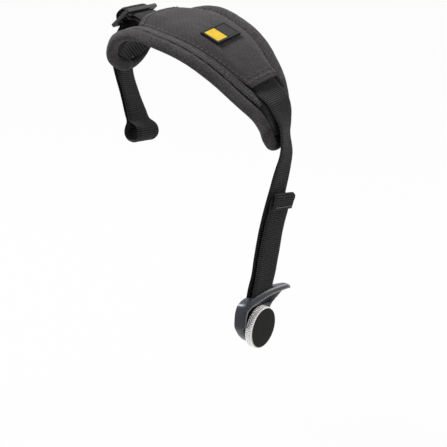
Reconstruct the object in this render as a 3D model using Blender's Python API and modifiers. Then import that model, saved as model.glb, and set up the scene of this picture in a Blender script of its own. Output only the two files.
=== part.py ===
"""Camera hand grip strap: padded palm band on 16 mm webbing, tri-glide slider, and a
moulded foot that a knurled captive screw clamps to a tripod socket.

Units are metres. The origin is the tripod screw's axis on the plane the foot sits on,
+X runs out of that plane along the screw, +Z towards the band and +Y across it.
"""
import math

import bmesh
import bpy
import numpy as np
from mathutils import Matrix, Vector

MM = 0.001
GAP = 0.4            # clearance between stitched or touching layers, mm

# webbing
WEB_W = 16.0         # width
WEB_T = 1.2          # thickness
LAYER = 0.8          # half the distance between the middles of two lying layers
WEB_OFF_L = 4.0      # the webbing runs this far off the band's centre line at the left
WEB_OFF_R = 2.1      # and this far at the right

# padded band: stations of its centre line (outer face), its across direction,
# half width and crown. Read off from left (lug) end to right (foot) end.
BAND = [
    # x      y     z      across x, y, z      half  crown
    (-91.4,  7.2,  99.8,  0.10, 0.99, 0.02,  14.5, 0.6),
    (-94.2,  7.0, 106.8,  0.08, 0.99, 0.05,  15.8, 1.0),
    (-93.4,  6.6, 115.0,  0.05, 0.99, 0.08,  17.4, 1.2),
    (-88.8,  5.8, 122.9,  0.04, 0.985, 0.13, 20.0, 1.2),
    (-81.6,  5.0, 128.0,  0.05, 0.97, 0.165, 22.0, 1.2),
    (-72.4,  4.8, 130.9,  0.05, 0.97, 0.186, 23.0, 1.2),
    (-61.5,  4.3, 131.3,  0.05, 0.97, 0.24,  24.0, 1.0),
    (-40.1,  3.6, 127.0,  0.066, 0.96, 0.27, 22.2, 1.0),
    (-20.8,  3.0, 118.4,  0.10, 0.94, 0.30,  19.6, 1.5),
    (-8.6,   2.0, 111.0,  0.12, 0.93, 0.289, 17.6, 2.4),
    (2.2,    0.6, 101.5,  0.00, 0.97, 0.20,  14.0, 4.2),
    (6.2,   -0.4,  94.0, -0.18, 0.97, 0.10,  12.4, 5.0),
    (5.0,    0.0,  81.6, -0.14, 0.99, 0.03,  11.0, 4.4),
]
END_L = 14.0         # length over which the left end rounds off
END_R = 9.0          # length over which the right end rounds off
ROLL_R = 2.8         # radius of the rolled edges
FAR_SHIFT = 2.2      # the far seam bows out further than the near one
FAR_LIFT = 0.7       # and its roll stands this much higher
FAR_WIDE = 1.6       # the far edge's roll is an oval, wider by twice this at its middle
ROLL_N = -2.75       # the rolls' middle, below the reference face
FOAM_T = 3.7         # thickness of the foam core
FOAM_TOP = -1.9      # the core's outer face, below the sleeve's outer face
LINING_T = 0.8
PANEL_T = 0.8        # thickness of the sleeve fabric
TAPE_W = 3.4         # binding strip beside the near roll
SLEEVE_L = 36.0      # where the sleeve begins along the band
SLEEVE_R = 110.0     # where it ends
HEM_W = 3.2          # folded hems at the sleeve's mouths

# label
TAG_ALONG = 10.8
TAG_ACROSS = 16.5
TAG_S = 76.8
TAG_W = 4.0          # off the centre line, to the far side
TAG_T = 1.4
TAG_RIM = 0.9

# tri-glide slider
SL_LEN = 21.0        # across the webbing
SL_END = 1.9         # end bars
SL_SLOT = 3.9        # slots
SL_BAR = 2.2         # middle bar
SL_SIDE = 0.9        # the slots are wider than the webbing by twice this
SL_T = 2.0
SL_S = 25.5          # where it sits along the band
SL_SHIFT = 0.3       # it sits this much to the far side of the webbing's middle
SL_WEB = 1.1         # where the webbing lies this much to the far side of its way
SL_TILT = -2.0       # degrees it is tipped up towards the sleeve
SL_RISE = 6.7        # height of its middle over the band's reference face

# foot
FOOT_X0 = 0.9
FOOT_X1 = 6.5
PLATE_X1 = 4.0
PIN_X = 2.5
PIN_Z = 11.7
PIN_R = 0.7
FOOT_R = 8.9         # the plate round the screw
FOOT_SCREW_HOLE = 3.6

# thumb screw
KNOB_R = 10.1
KNOB_X0 = 5.3
KNOB_X1 = 9.2
STUD_IN = -5.2       # how far the thread reaches into the socket


def spline(rows, ts):
    """Cubic Hermite through rows, parametrised by the distance between the points."""
    p = np.asarray(rows, dtype=float)
    d = np.concatenate(([0.0], np.cumsum(np.linalg.norm(np.diff(p[:, :3], axis=0), axis=1))))
    m = np.gradient(p, d, axis=0)
    ts = np.clip(np.atleast_1d(np.asarray(ts, dtype=float)), 0.0, d[-1])
    k = np.clip(np.searchsorted(d, ts, side="right") - 1, 0, len(d) - 2)
    h = (d[k + 1] - d[k])[:, None]
    u = ((ts - d[k]) / h[:, 0])[:, None]
    return ((2 * u**3 - 3 * u**2 + 1) * p[k] + (u**3 - 2 * u**2 + u) * h * m[k]
            + (3 * u**2 - 2 * u**3) * p[k + 1] + (u**3 - u**2) * h * m[k + 1])


def length(rows):
    p = np.asarray(rows, dtype=float)[:, :3]
    return float(np.linalg.norm(np.diff(p, axis=0), axis=1).sum())


BAND_L = length(BAND)


def unit(v):
    return v / np.linalg.norm(v)


def band_frame(s):
    """Point, tangent, across and normal of the band's reference face at length s."""
    v = spline(BAND, [s])[0]
    a = spline(BAND, [s - 0.5])[0][:3]
    b = spline(BAND, [s + 0.5])[0][:3]
    t = unit(b - a)
    w = unit(v[3:6])
    n = unit(np.cross(t, w))
    return v[:3], t, w, n, v[6], v[7]


def band_point(s, w, n=0.0):
    """A point w across and n above the crowned reference face."""
    c, t, wd, nd, half, crown = band_frame(s)
    k = crown / half**2
    up = unit(nd + 2 * k * w * wd)
    return c + wd * w - nd * k * w * w + up * n


def band_normal(s, w):
    c, t, wd, nd, half, crown = band_frame(s)
    return unit(nd + 2 * crown / half**2 * w * wd)


def band_half(s):
    """Half width to the outside of the rolls, with both ends rounded off."""
    half = band_frame(s)[4]
    k = 1.0
    if s < END_L:
        k = (1 - ((END_L - s) / END_L) ** 2.2) ** (1 / 2.2)
    if s > BAND_L - END_R:
        k = (1 - ((s - BAND_L + END_R) / END_R) ** 2.2) ** (1 / 2.2)
    return half * k


def smooth(x):
    x = min(max(x, 0.0), 1.0)
    return x * x * (3 - 2 * x)


def web_off(s):
    return WEB_OFF_L + (WEB_OFF_R - WEB_OFF_L) * smooth((s - 40) / 70)


ROLL_C = 3.35        # the rolls' middle lies this far inside the outline


def far_wide(s):
    """How much wider than round the far edge's roll is, half of it on either side."""
    return FAR_WIDE * smooth((s - 22) / 24) * smooth((BAND_L - 26 - s) / 30)


def far_shift(s):
    """How much further out the far seam lies than the near one."""
    return FAR_SHIFT * smooth((s - 30) / 20) * smooth((BAND_L - 38 - s) / 32)


def roll_path():
    """Middle line of a rolled edge as (s, w), from the left tip to the right tip."""
    ss = np.concatenate((np.linspace(0, 1, 40) ** 2 * END_L,
                         np.linspace(END_L, BAND_L - END_R, 70)[1:],
                         BAND_L - END_R * np.linspace(1, 0, 40)[1:] ** 2))
    out = []
    for s in ss:
        w = band_half(min(max(s, 0.0), BAND_L)) - ROLL_C
        if w > 3.0:
            out.append((ROLL_C + (BAND_L - 2 * ROLL_C) * s / BAND_L, w))
    first, last = out[0][0], out[-1][0]
    tips = (0.3, 1.2, 2.2)
    return np.array([(first, w) for w in tips] + out + [(last, w) for w in tips[::-1]])


def core_half(s):
    """Half width of the core: the rolls' middle line, less their radius and a gap."""
    d = ROLL_R + GAP + 0.3
    half, crown = band_frame(s)[4:]
    wide = d / (1 - 2 * crown / half**2 * 4.2)     # the crown draws the inner side together
    ds = (ROLL_PATH[:, 0] - s) * 0.64 / d
    near = np.abs(ds) < 1
    if not near.any():
        return 0.0
    return float((ROLL_PATH[near, 1] - wide * np.sqrt(1 - ds[near] ** 2)).min())


def material(name, rgb, rough, metal=0.0):
    m = bpy.data.materials.new(name)
    m.use_nodes = True
    b = m.node_tree.nodes["Principled BSDF"]
    b.inputs["Base Color"].default_value = (*rgb, 1.0)
    b.inputs["Roughness"].default_value = rough
    b.inputs["Metallic"].default_value = metal
    m.diffuse_color = (*rgb, 1.0)
    return m


def new_object(name, mesh, mat, coll, smooth=40.0):
    ob = bpy.data.objects.new(name, mesh)
    coll.objects.link(ob)
    mesh.materials.clear()
    mesh.materials.append(mat)
    if smooth:
        mesh.shade_smooth()
        mesh.set_sharp_from_angle(angle=math.radians(smooth))
    return ob


def block(name, rows, cols, place, low, high, mat, coll):
    """A grid on two faces, low and high above place's face, closed round its edge."""
    bm = bmesh.new()
    bmesh.ops.create_grid(bm, x_segments=rows, y_segments=cols, size=0.5)
    flat = {v: (v.co.x + 0.5, v.co.y + 0.5) for v in bm.verts}
    both = bmesh.ops.extrude_face_region(bm, geom=bm.faces[:])
    top = [g for g in both["geom"] if isinstance(g, bmesh.types.BMVert)]
    tops = {}
    for v in top:
        tops[v] = (v.co.x + 0.5, v.co.y + 0.5)
    for v, (a, b) in flat.items():
        v.co = Vector(place(a, b, low(a, b) if callable(low) else low) * MM)
    for v, (a, b) in tops.items():
        v.co = Vector(place(a, b, high(a, b) if callable(high) else high) * MM)
    bmesh.ops.recalc_face_normals(bm, faces=bm.faces[:])
    me = bpy.data.meshes.new(name)
    bm.to_mesh(me)
    bm.free()
    return new_object(name, me, mat, coll)


def sweep(name, pts, ups, ra, rb, sides, mat, coll):
    """A closed tube of oval section along pts, half widths ra across and rb along ups."""
    bm = bmesh.new()
    rings = []
    n = len(pts)
    for i in range(n):
        t = unit(pts[min(i + 1, n - 1)] - pts[max(i - 1, 0)])
        u = unit(ups[i] - t * np.dot(ups[i], t))
        b = np.cross(t, u)
        ring = []
        for k in range(sides):
            a = 2 * math.pi * k / sides
            p = pts[i] + b * ra[i] * math.cos(a) + u * rb * math.sin(a)
            ring.append(bm.verts.new(Vector(p * MM)))
        rings.append(ring)
    for a, b in zip(rings, rings[1:]):
        for k in range(sides):
            bm.faces.new((a[k], a[(k + 1) % sides], b[(k + 1) % sides], b[k]))
    bm.faces.new(rings[0])
    bm.faces.new(rings[-1])
    bmesh.ops.recalc_face_normals(bm, faces=bm.faces[:])
    me = bpy.data.meshes.new(name)
    bm.to_mesh(me)
    bm.free()
    return new_object(name, me, mat, coll)


def outline_solid(name, pts, x0, x1, mat, coll):
    """A flat outline in YZ, filled and extruded from x0 to x1."""
    cu = bpy.data.curves.new(name, "CURVE")
    cu.dimensions = "2D"
    cu.fill_mode = "BOTH"
    cu.extrude = (x1 - x0) / 2 * MM
    sp = cu.splines.new("POLY")
    sp.points.add(len(pts) - 1)
    for p, (y, z) in zip(sp.points, pts):
        p.co = (y * MM, z * MM, 0.0, 1.0)
    sp.use_cyclic_u = True
    tmp = bpy.data.objects.new(name + "_outline", cu)
    coll.objects.link(tmp)
    tmp.matrix_world = yz_frame((x0 + x1) / 2)
    bpy.context.view_layer.update()
    dg = bpy.context.evaluated_depsgraph_get()
    me = bpy.data.meshes.new_from_object(tmp.evaluated_get(dg))
    bm = bmesh.new()
    bm.from_mesh(me)
    bmesh.ops.remove_doubles(bm, verts=bm.verts[:], dist=1e-7)
    bmesh.ops.recalc_face_normals(bm, faces=bm.faces[:])
    bm.to_mesh(me)
    bm.free()
    ob = new_object(name, me, mat, coll, smooth=None)
    ob.matrix_world = tmp.matrix_world
    bpy.data.objects.remove(tmp)
    return ob


def yz_frame(x):
    """Places a drawing's x, y and z on world Y, Z and X, at height x."""
    m = Matrix(((0, 0, 1, x * MM), (1, 0, 0, 0), (0, 1, 0, 0), (0, 0, 0, 1)))
    return m


def turned(name, profile, mat, coll, steps=48):
    """A profile of (radius, x) turned about the X axis."""
    bm = bmesh.new()
    vs = [bm.verts.new((r * MM, 0.0, x * MM)) for r, x in profile]
    for a, b in zip(vs, vs[1:]):
        bm.edges.new((a, b))
    me = bpy.data.meshes.new(name)
    bm.to_mesh(me)
    bm.free()
    ob = new_object(name, me, mat, coll, smooth=None)
    ob.matrix_world = yz_frame(0.0)
    sc = ob.modifiers.new("Turn", "SCREW")
    sc.axis = "Z"
    sc.steps = steps
    sc.render_steps = steps
    sc.use_merge_vertices = True
    sc.merge_threshold = 0.00001
    sc.use_smooth_shade = True
    return ob


def cut(ob, cutter):
    cutter.hide_render = True
    cutter.display_type = "WIRE"
    md = ob.modifiers.new("Cut " + cutter.name, "BOOLEAN")
    md.operation = "DIFFERENCE"
    md.solver = "EXACT"
    md.object = cutter


def cylinder_x(name, r, x0, x1, y, z, coll, mat, sides=32):
    bm = bmesh.new()
    bmesh.ops.create_cone(bm, cap_ends=True, segments=sides, radius1=r * MM, radius2=r * MM,
                          depth=(x1 - x0) * MM)
    me = bpy.data.meshes.new(name)
    bm.to_mesh(me)
    bm.free()
    ob = new_object(name, me, mat, coll, smooth=30.0)
    ob.matrix_world = yz_frame((x0 + x1) / 2)
    ob.location = Vector(((x0 + x1) / 2, y, z)) * MM
    return ob


def box(name, lo, hi, coll, mat):
    bm = bmesh.new()
    bmesh.ops.create_cube(bm, size=1.0)
    me = bpy.data.meshes.new(name)
    for v in bm.verts:
        v.co = Vector([(lo[i] + hi[i]) / 2 * MM + v.co[i] * (hi[i] - lo[i]) * MM for i in range(3)])
    bm.to_mesh(me)
    bm.free()
    return new_object(name, me, mat, coll, smooth=None)


def arc(cy, cz, r, a0, a1, n):
    return [(cy + r * math.cos(math.radians(a0 + (a1 - a0) * i / n)),
             cz + r * math.sin(math.radians(a0 + (a1 - a0) * i / n))) for i in range(n + 1)]


# the webbing's way, as rows of (middle point, across direction)

# back layer, from the pin up to the band's right end
BACK = [
    # x     y    z     across
    (0.9,  2.0, 12.5,  0.00, 1.0, 0.00),
    (1.0,  2.0, 16.5,  0.00, 1.0, 0.00),
    (2.2,  2.0, 24.0,  0.02, 1.0, -0.01),
    (2.8,  2.0, 34.0,  0.04, 1.0, -0.02),
    (3.6,  2.0, 48.0,  0.00, 1.0, -0.05),
    (5.9,  2.0, 65.4, -0.06, 1.0, -0.08),
    (7.2,  2.2, 76.4, -0.12, 0.99, -0.08),
    (7.7,  2.5, 83.0, -0.20, 0.98, -0.04),
]
# front layer, from its turned-over end down to the pin
FRONT = [
    (8.7,  2.4, 63.8, -0.06, 1.0, -0.08),
    (7.8,  2.4, 58.0, -0.02, 1.0, -0.06),
    (5.9,  2.2, 46.0,  0.02, 1.0, -0.04),
    (5.1,  2.0, 34.0,  0.04, 1.0, -0.02),
    (4.7,  2.0, 24.0,  0.02, 1.0, 0.00),
    (4.1,  2.0, 16.5,  0.00, 1.0, 0.00),
    (4.1,  2.0, 12.5,  0.00, 1.0, 0.00),
]
# both layers together on the left, from the slider down to the lug
LUG = [
    (-97.0, 10.4, 115.8, 0.02, 0.99, 0.08),
    (-98.2, 11.0, 108.0, -0.06, 0.99, 0.02),
    (-96.8, 12.0, 100.0, -0.16, 0.98, -0.06),
    (-92.4, 12.8,  90.0, -0.13, 0.98, -0.10),
    (-86.2, 13.4,  78.0, 0.00, 1.0, 0.00),
]
LOOP_R = 4.4         # radius of the loop for the strap lug, to the webbing's middle
TAIL_S = 42.5        # the free tail ends here, inside the sleeve
PAIR_RISE = -0.1     # the pair's middle over the band's reference face
FLAP = 7.6           # length of the sewn, turned-over end
COLS = 4             # facets across the webbing


def row(p, w):
    """A row of the webbing: its middle, then its points from edge to edge."""
    w = unit(np.asarray(w, float))
    p = np.asarray(p, float)
    pts = [p + w * WEB_W * (k / COLS - 0.5) for k in range(COLS + 1)]
    return np.concatenate([p] + pts)


def across(r):
    return unit(r[-3:] - r[3:6])


def band_row(s, n, conform=1.0):
    """A row lying on the band, following its crown where conform is 1."""
    o = web_off(s)
    mid = band_point(s, o, n)
    flat = row(mid, band_point(s, o + 1, n) - band_point(s, o - 1, n))
    on = np.concatenate([mid] + [band_point(s, o + WEB_W * (k / COLS - 0.5), n)
                                 for k in range(COLS + 1)])
    return flat + (on - flat) * conform


def slider_frame():
    s, o = SL_S, web_off(SL_S) + SL_WEB
    t, wd = band_frame(s)[1], unit(band_point(s, o + 8) - band_point(s, o - 8))
    t = unit(t - wd * np.dot(t, wd))
    n = np.cross(t, wd)
    c, q = math.cos(math.radians(SL_TILT)), math.sin(math.radians(SL_TILT))
    return band_point(s, o) + n * SL_RISE + wd * SL_SHIFT, t * c + n * q, wd, n * c - t * q


def weave():
    """Side view of the pair over the middle bar: arcs round the slots' corners."""
    r = 2.05
    pts = []
    for a in (270, 240, 210, 180, 155):
        pts.append((SL_BAR / 2 + SL_SLOT + r * math.cos(math.radians(a)),
                    -SL_T / 2 + r * math.sin(math.radians(a))))
    for a in (-25, 0, 30, 60, 90):
        pts.append((SL_BAR / 2 + r * math.cos(math.radians(a)),
                    SL_T / 2 + r * math.sin(math.radians(a))))
    return pts + [(-a, b) for a, b in pts[::-1]]


def resample(rows, step):
    total = length(rows)
    n = max(2, int(round(total / step)))
    return list(spline(rows, np.linspace(0, total, n + 1)))


def offset_rows(rows, d):
    """Moves each row along the ribbon's own normal by d."""
    out = []
    n = len(rows)
    for i, r in enumerate(rows):
        t = unit(rows[min(i + 1, n - 1)][:3] - rows[max(i - 1, 0)][:3])
        nn = unit(np.cross(t, across(r)))
        out.append(r + np.tile(nn * d, len(r) // 3))
    return out


def ribbon_rows():
    """Every row of the one long webbing, from the sewn end to the tail's tip."""
    front = resample([row(f[:3], f[3:]) for f in FRONT], 3.2)
    flap = [r for r in offset_rows(front, 2 * LAYER) if r[2] > FRONT[0][2] - FLAP]
    top = front[0]
    n = unit(flap[0][:3] - top[:3])
    up = unit(front[0][:3] - front[1][:3])
    rows = flap[::-1]
    for k in (1, 2, 3):
        a = math.pi * k / 4
        d = n * LAYER * (1 + math.cos(a)) + up * LAYER * math.sin(a)
        rows.append(top + np.tile(d, len(top) // 3))
    rows += front
    for k in range(1, 8):
        a = math.pi * k / 8
        rows.append(row((PIN_X + 1.6 * math.cos(a), 2.0, PIN_Z - 1.6 * math.sin(a)), (0, 1, 0)))
    lay = FOAM_TOP + GAP + WEB_T / 2
    up_rows = [row(b[:3], b[3:]) for b in BACK]
    for s in (BAND_L - 10, BAND_L - 15, BAND_L - 20, BAND_L - 25):
        up_rows.append(band_row(s, lay + 1.5 * smooth((s - SLEEVE_R - 1) / 9), 0.0))
    rows += resample(up_rows, 3.0)
    for s in np.arange(SLEEVE_R + 3.0, TAIL_S + 4, -3.4):
        rows.append(band_row(s, lay, smooth((SLEEVE_R + 4.4 - s) / 4)))
    # the pair: in the sleeve's mouth, through the slider and down to the lug
    p, t, wd, nn = slider_frame()
    pair = [band_row(s, PAIR_RISE + rise, smooth((s - SL_S - 7) / 6)) for s, rise in
            ((TAIL_S, 0.0), (39.5, 0.0), (37.0, 0.0), (35.0, 0.5))]
    for a, b in weave():
        pair.append(row(p - wd * SL_SHIFT + t * a + nn * b, wd))
    for st in LUG:
        pair.append(row(st[:3], st[3:]))
    fine = resample(pair, 1.3)
    fine = [r for i, r in enumerate(fine[::-1]) if r[2] > 121 or i % 3 == 0][::-1]
    inner = offset_rows(fine, LAYER)
    outer = offset_rows(fine, -LAYER)
    rows += inner
    # the loop through the lug
    t = unit(fine[-1][:3] - fine[-2][:3])
    side = unit(inner[-1][:3] - outer[-1][:3])
    a0 = math.radians(-40)
    reach = (LOOP_R * math.cos(a0) - LAYER) / math.tan(-a0) - LOOP_R * math.sin(a0)
    c = (inner[-1] + outer[-1]) / 2 + np.tile(t * reach, len(top) // 3)
    for k in range(13):
        a = a0 + (math.pi - 2 * a0) * k / 12
        rows.append(c + np.tile((side * math.cos(a) + t * math.sin(a)) * LOOP_R, len(top) // 3))
    rows += outer[::-1]
    return rows


def webbing(mat, coll):
    rows = ribbon_rows()
    bm = bmesh.new()
    bmesh.ops.create_grid(bm, x_segments=len(rows) - 1, y_segments=COLS, size=0.5)
    for v in bm.verts:
        i = int(round((v.co.x + 0.5) * (len(rows) - 1)))
        k = int(round((v.co.y + 0.5) * COLS))
        v.co = Vector(rows[i][3 + 3 * k:6 + 3 * k] * MM)
    me = bpy.data.meshes.new("main_webbing")
    bm.to_mesh(me)
    bm.free()
    ob = new_object("main_webbing", me, mat, coll)
    so = ob.modifiers.new("Thickness", "SOLIDIFY")
    so.thickness = WEB_T * MM
    so.offset = 0.0
    so.use_even_offset = True
    return ob


def sleeve_low(s, w):
    """Inner face of the sleeve's fabric: flat on the core, raised over the webbing."""
    base = FOAM_TOP + GAP
    over = WEB_T + GAP + 2 * LAYER * 1.08 * (1 - smooth((s - TAIL_S - 1.5) / 7))
    return base + over * (1 - smooth((abs(w - web_off(s)) - 8.4) / 2.6))


def sleeve_edge(s):
    half = core_half(s)
    return -(half - TAPE_W - 0.3), half + far_shift(s) - 0.1


def main():
    for ob in list(bpy.data.objects):
        bpy.data.objects.remove(ob, do_unlink=True)
    scene = bpy.context.scene
    coll = bpy.data.collections.new("hand_grip_strap")
    cutters = bpy.data.collections.new("cutters")
    scene.collection.children.link(coll)
    scene.collection.children.link(cutters)

    web = material("webbing_black", (0.012, 0.012, 0.013), 0.85)
    cloth = material("twill_charcoal", (0.055, 0.052, 0.055), 0.8)
    knit = material("knit_charcoal", (0.07, 0.067, 0.07), 0.75)
    mesh_m = material("mesh_dark", (0.02, 0.02, 0.022), 0.9)
    foam = material("foam_charcoal", (0.04, 0.038, 0.04), 0.85)
    plastic = material("slider_plastic", (0.03, 0.03, 0.032), 0.45)
    foot_m = material("foot_plastic", (0.02, 0.022, 0.026), 0.4)
    rubber = material("foot_rubber", (0.015, 0.015, 0.016), 0.8)
    label_b = material("label_black", (0.01, 0.01, 0.01), 0.5)
    label_y = material("label_yellow", (0.9, 0.6, 0.03), 0.5)
    thread = material("thread_black", (0.03, 0.03, 0.03), 0.7)
    steel = material("steel", (0.6, 0.6, 0.6), 0.3, 1.0)
    cap_m = material("knob_face", (0.03, 0.025, 0.022), 0.45)
    tool = material("cutter", (1, 0, 0), 0.5)

    # the band: core, lining and the rolled edges
    s0 = next(s for s in np.arange(4, 30, 0.25) if core_half(s) > 3.0)
    s1 = next(s for s in np.arange(BAND_L - 4, 90, -0.25) if core_half(s) > 2.5)

    def core(inset):
        def place(a, b, n):
            s = s0 + inset + (s1 - s0 - 2 * inset) * a
            near, far = -core_half(s) + inset, core_half(s) + far_shift(s) - inset
            return band_point(s, near + (far - near) * b, n)
        return place

    block("pad_core", 36, 8, core(0.0), FOAM_TOP - FOAM_T, FOAM_TOP, foam, coll)
    low = FOAM_TOP - FOAM_T - GAP
    block("pad_lining", 36, 8, core(0.3), low - LINING_T, low, mesh_m, coll)
    for name, side in (("near_edge_roll", -1), ("far_edge_roll", 1)):
        path = [(s, side * w) for s, w in ROLL_PATH]
        pts = np.array([band_point(s, w + (far_wide(s) + far_shift(s)) * (side > 0),
                                   ROLL_N + FAR_LIFT * far_shift(s) / FAR_SHIFT * (side > 0))
                        for s, w in path])
        ups = np.array([band_normal(s, w) for s, w in path])
        d = np.concatenate(([0], np.cumsum(np.linalg.norm(np.diff(pts, axis=0), axis=1))))
        keep = np.concatenate(([0, 0.9], np.linspace(1.8, d[-1] - 1.8, 44), [d[-1] - 0.9, d[-1]]))
        pts = [np.array([np.interp(k, d, pts[:, i]) for i in range(3)]) for k in keep]
        ups = [np.array([np.interp(k, d, ups[:, i]) for i in range(3)]) for k in keep]
        along = np.interp(keep, d, ROLL_PATH[:, 0])
        wide = [ROLL_R + far_wide(s) * (side > 0) for s in along]
        sweep(name, pts, ups, wide, ROLL_R, 12, knit, coll)

    # the sleeve the webbing runs through, its folded mouths and the binding strip
    def sleeve(sa, sb):
        def place(a, b, n):
            s = sa + (sb - sa) * a
            lo, hi = sleeve_edge(s)
            return band_point(s, lo + (hi - lo) * b, n)
        return place

    def level(sa, sb, add):
        def at(a, b):
            s = sa + (sb - sa) * a
            lo, hi = sleeve_edge(s)
            return sleeve_low(s, lo + (hi - lo) * b) + add
        return at

    pa, pb = SLEEVE_L + HEM_W + 0.3, SLEEVE_R - HEM_W - 0.3
    block("sleeve_panel", 20, 16, sleeve(pa, pb), level(pa, pb, 0.0),
          level(pa, pb, PANEL_T), cloth, coll)
    for name, sa, sb in (("sleeve_hem_left", SLEEVE_L, SLEEVE_L + HEM_W),
                         ("sleeve_hem_right", SLEEVE_R - HEM_W, SLEEVE_R)):
        block(name, 1, 16, sleeve(sa, sb), level(sa, sb, 0.0),
              level(sa, sb, PANEL_T + 0.35), cloth, coll)

    def tape_width(s):
        free = web_off(s) - WEB_W / 2 - 0.4 + core_half(s) - 0.1
        return min(TAPE_W, free if s > SLEEVE_R else TAPE_W)

    ta = s0 + 4.0
    tb = next(s for s in np.arange(SLEEVE_R, BAND_L, 0.5) if tape_width(s) < 1.3)

    def tape(a, b, n):
        s = ta + (tb - ta) * a
        return band_point(s, -core_half(s) + 0.1 + tape_width(s) * b, n)

    block("binding_strip", 34, 2, tape, FOAM_TOP + 0.35, FOAM_TOP + 1.05, thread, coll)

    webbing(web, coll)

    # label
    c, t, wd, nd, half, crown = band_frame(TAG_S)
    tw = TAG_W
    nn = band_normal(TAG_S, tw)
    wd = unit(wd - nn * np.dot(wd, nn))
    t = np.cross(wd, nn)
    seat = band_point(TAG_S, tw, sleeve_low(TAG_S, tw) + PANEL_T + 0.3)

    def place_box(name, a0, a1, w0, w1, n0, n1, mat, where=coll, bevel=0.0):
        ob = box(name, (a0, w0, n0), (a1, w1, n1), where, mat)
        ob.matrix_world = basis(seat, t, wd, nn)
        if bevel:
            bv = ob.modifiers.new("Edges", "BEVEL")
            bv.width = bevel * MM
            bv.segments = 2
        return ob

    ha, hw = TAG_ALONG / 2, TAG_ACROSS / 2
    base = place_box("label_base", -ha, ha, -hw, hw, 0.0, TAG_T, label_b)
    pocket = place_box("label_pocket", -ha + TAG_RIM, ha - TAG_RIM, -hw + TAG_RIM, hw - TAG_RIM,
                       0.55, TAG_T + 1, tool, cutters)
    cut(base, pocket)
    g = 0.3
    place_box("label_light_field", -ha + TAG_RIM + g, ha - TAG_RIM - g, -hw + TAG_RIM + g, -0.2,
              0.55 + g, TAG_T - 0.1, label_y)
    place_box("label_dark_field", -ha + TAG_RIM + g, ha - TAG_RIM - g, 0.2, hw - TAG_RIM - g,
              0.55 + g, TAG_T - 0.1, label_b)

    # slider
    p, t, wd, nn = slider_frame()
    along = SL_BAR + 2 * SL_SLOT + 2 * SL_END
    frame = box("slider", (-along / 2, -SL_LEN / 2, -SL_T / 2), (along / 2, SL_LEN / 2, SL_T / 2),
                coll, plastic)
    frame.matrix_world = basis(p, t, wd, nn)
    for k, side in enumerate((-1, 1)):
        a0, a1 = sorted((side * SL_BAR / 2, side * (SL_BAR / 2 + SL_SLOT)))
        slot = box("slider_slot_%d" % k, (a0, -WEB_W / 2 - SL_SIDE, -9), (a1, WEB_W / 2 + SL_SIDE, 9),
                   cutters, tool)
        slot.matrix_world = basis(p, t, wd, nn)
        cut(frame, slot)
    bv = frame.modifiers.new("Edges", "BEVEL")
    bv.width = 0.45 * MM
    bv.segments = 2

    # stitches over the turned-over end of the webbing
    rows = ribbon_rows()
    st = rows[0]
    up = unit(rows[1][:3] - rows[0][:3])
    wd = across(st)
    out = unit(np.cross(wd, up))
    if out[0] < 0:
        out = -out
    bar = box("end_stitching", (-0.5, -6.6, 0.0), (0.5, 6.6, 0.35), coll, thread)
    bar.matrix_world = basis(st[:3] + up * 1.2 + out * (WEB_T / 2 + 0.3), up, wd, out)

    foot(foot_m, rubber, steel, tool, coll, cutters)
    thumb_screw(steel, cap_m, coll)


def basis(p, a, b, c):
    return Matrix(((a[0], b[0], c[0], p[0] * MM), (a[1], b[1], c[1], p[1] * MM),
                   (a[2], b[2], c[2], p[2] * MM), (0, 0, 0, 1)))


def foot(mat, rubber, steel, tool, coll, cutters):
    """Moulded foot: a plate round the screw, a wall on two sides and a free wing."""
    out = arc(0, 0, 11.9, 186, 226, 8) + arc(0, 0, FOOT_R, 240, 360, 20)
    out += [(9.6, 3.0), (11.2, 5.8), (12.6, 7.6), (14.0, 9.0), (17.6, 10.9), (19.8, 12.3), (21.4, 13.9)]
    out += arc(22.4, 15.6, 1.4, -70, 95, 7)
    out += [(18.0, 17.2), (14.6, 17.0), (8.2, 16.2), (2.0, 15.1), (-2.4, 14.2), (-7.4, 12.9)]
    out += arc(-8.7, 9.2, 3.4, 110, 178, 6)
    out += [(-12.1, 4.0), (-12.1, 1.0)]
    ob = outline_solid("foot", out, FOOT_X0, FOOT_X1, mat, coll)
    recess = arc(0, 0, 10.9, 205, 126, 14)
    recess += [(-3.2, 10.9), (0.0, 11.3), (4.0, 11.7), (8.0, 12.5), (14.0, 14.0), (18.0, 14.9),
               (30.0, 15.2), (30.0, -20.0), (-20.0, -20.0), (-20.0, -4.6)]
    cut(ob, outline_solid("foot_recess", recess, PLATE_X1, 12.0, tool, cutters))
    cut(ob, box("webbing_passage", (-5.0, -6.5, 7.9), (5.1, 10.5, 25.0), cutters, tool))
    cut(ob, cylinder_x("screw_hole", FOOT_SCREW_HOLE, -5.0, 12.0, 0, 0, cutters, tool))
    hole = cylinder_x("pin_hole", PIN_R + 0.3, -10.6, 10.6, 0, 0, cutters, tool, 20)
    hole.matrix_world = Matrix.Translation(Vector((PIN_X, 2.0, PIN_Z)) * MM) @ Matrix.Rotation(
        math.radians(90), 4, "X")
    cut(ob, hole)

    pin = cylinder_x("webbing_pin", PIN_R, -10.2, 10.2, 0, 0, coll, steel, 20)
    pin.matrix_world = hole.matrix_world.copy()

    ring = arc(0, 0, FOOT_R - 0.6, 0, 352.5, 47)
    pad = outline_solid("friction_pad", ring, 0.0, 0.6, rubber, coll)
    cut(pad, cylinder_x("pad_hole", 5.3, -5.0, 5.0, 0, 0, cutters, tool))
    cut(pad, box("pad_notch", (-5.0, -20, 7.6), (5.0, 20, 25.0), cutters, tool))


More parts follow.
